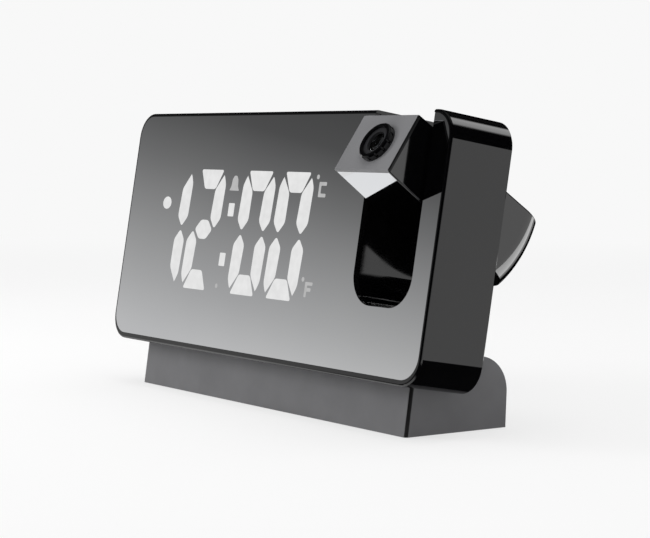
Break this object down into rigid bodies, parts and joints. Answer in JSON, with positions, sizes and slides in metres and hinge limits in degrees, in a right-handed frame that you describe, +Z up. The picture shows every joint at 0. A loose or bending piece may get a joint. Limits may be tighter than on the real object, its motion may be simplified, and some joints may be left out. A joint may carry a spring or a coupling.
{
  "type": "projection alarm clock",
  "caption": "Mirror-fronted desk alarm clock leaning back on a low base, with a swivelling projector arm in a slot at one end.",
  "frame": {"origin": "centre of the base, on the plane the clock stands on", "axes": "+X to the viewer's right, +Y to the back, +Z up"},
  "size_m": [0.19, 0.0622, 0.0997],
  "materials": {
    "housing_black": "glossy black ABS moulding",
    "mirror": "smoked half-silvered acrylic",
    "housing_grey": "dark grey satin ABS",
    "base_grey": "dark grey satin ABS",
    "rubber": "black silicone rubber",
    "screw": "zinc plated steel",
    "white_plastic": "white reflector plastic",
    "diffuser": "translucent film",
    "board": "glass-epoxy circuit board, green solder mask",
    "component": "black component body",
    "cell": "stainless can of a coin cell",
    "lens": "clear optical acrylic",
    "lamp": "clear epoxy lamp",
    "steel": "nickel plated steel shell",
    "lens_black": "matt black optics plastic",
    "washer": "acetal washer"
  },
  "bodies": {
    "housing": {"base_pad": "rubber", "base_plate": "base_grey", "base_screw_1": "screw", "base_screw_2": "screw", "base_screw_3": "screw", "base_screw_4": "screw", "base_stand": "base_grey", "battery_door": "housing_grey", "battery_door_screw": "screw", "buzzer": "component", "cell_holder": "component", "coin_cell": "cell", "cover_screw_1": "screw", "cover_screw_2": "screw", "cover_screw_3": "screw", "cover_screw_4": "screw", "cover_screw_5": "screw", "dc_jack": "component", "dc_pin": "steel", "diffuser_film": "diffuser", "digit_reflector": "white_plastic", "display_board": "board", "front_housing": "housing_black", "main_board": "board", "mirror_panel": "mirror", "pivot_stub_left": "steel", "pivot_stub_right": "steel", "pivot_washer_left": "washer", "pivot_washer_right": "washer", "port_board": "board", "rear_cover": "housing_grey", "snooze_switch": "component", "stand_screw_left": "screw", "stand_screw_right": "screw", "switch_alarm": "component", "switch_down": "component", "switch_projector": "component", "switch_time": "component", "switch_up": "component", "usb_port": "steel"},
    "arm": {"arm_shell": "housing_black", "arm_mirror": "mirror", "arm_cap": "housing_grey", "optics_tube": "lens_black", "time_slide": "lens", "condenser_lens": "lens", "projector_lamp": "lamp", "lamp_board": "board"},
    "focus_ring": {"focus_ring": "housing_black"},
    "lens": {"lens_barrel": "lens_black", "projection_lens": "lens"},
    "snooze": {"snooze_bar": "housing_black"},
    "time_button": {"button_time": "housing_black"},
    "alarm_button": {"button_alarm": "housing_black"},
    "up_button": {"button_up": "housing_black"},
    "down_button": {"button_down": "housing_black"},
    "projector_button": {"button_projector": "housing_black"}
  },
  "joints": [
    {"name": "arm_swing", "type": "hinge", "parent": "housing", "child": "arm", "pos_m": [0.0702, -0.00305, 0.07698], "axis": [1, 0, 0], "range_deg": [-151.8, 28.2]},
    {"name": "focus_turn", "type": "hinge", "parent": "arm", "child": "focus_ring", "pos_m": [0.0721, -0.02298, 0.0893], "axis": [0, -0.8221, 0.5693], "range_deg": [-60, 60]},
    {"name": "lens_slide", "type": "slide", "parent": "arm", "child": "lens", "axis": [0, -0.8221, 0.5693], "range_m": [-0.0008, 0.0008]},
    {"name": "snooze_press", "type": "slide", "parent": "housing", "child": "snooze", "axis": [0, -0.1668, -0.986], "range_m": [0, 0.0006], "stiffness_N_per_m": 900, "springref_m": -0.0001},
    {"name": "time_press", "type": "slide", "parent": "housing", "child": "time_button", "axis": [0, -0.986, 0.1668], "range_m": [0, 0.0006], "stiffness_N_per_m": 900, "springref_m": -0.0001},
    {"name": "alarm_press", "type": "slide", "parent": "housing", "child": "alarm_button", "axis": [0, -0.986, 0.1668], "range_m": [0, 0.0006], "stiffness_N_per_m": 900, "springref_m": -0.0001},
    {"name": "up_press", "type": "slide", "parent": "housing", "child": "up_button", "axis": [0, -0.986, 0.1668], "range_m": [0, 0.0006], "stiffness_N_per_m": 900, "springref_m": -0.0001},
    {"name": "down_press", "type": "slide", "parent": "housing", "child": "down_button", "axis": [0, -0.986, 0.1668], "range_m": [0, 0.0006], "stiffness_N_per_m": 900, "springref_m": -0.0001},
    {"name": "projector_press", "type": "slide", "parent": "housing", "child": "projector_button", "axis": [0, -0.986, 0.1668], "range_m": [0, 0.0006], "stiffness_N_per_m": 900, "springref_m": -0.0001}
  ],
  "couplings": [
    {"joint": "focus_turn", "follows": "lens_slide", "rad_per_m": 1300}
  ]
}
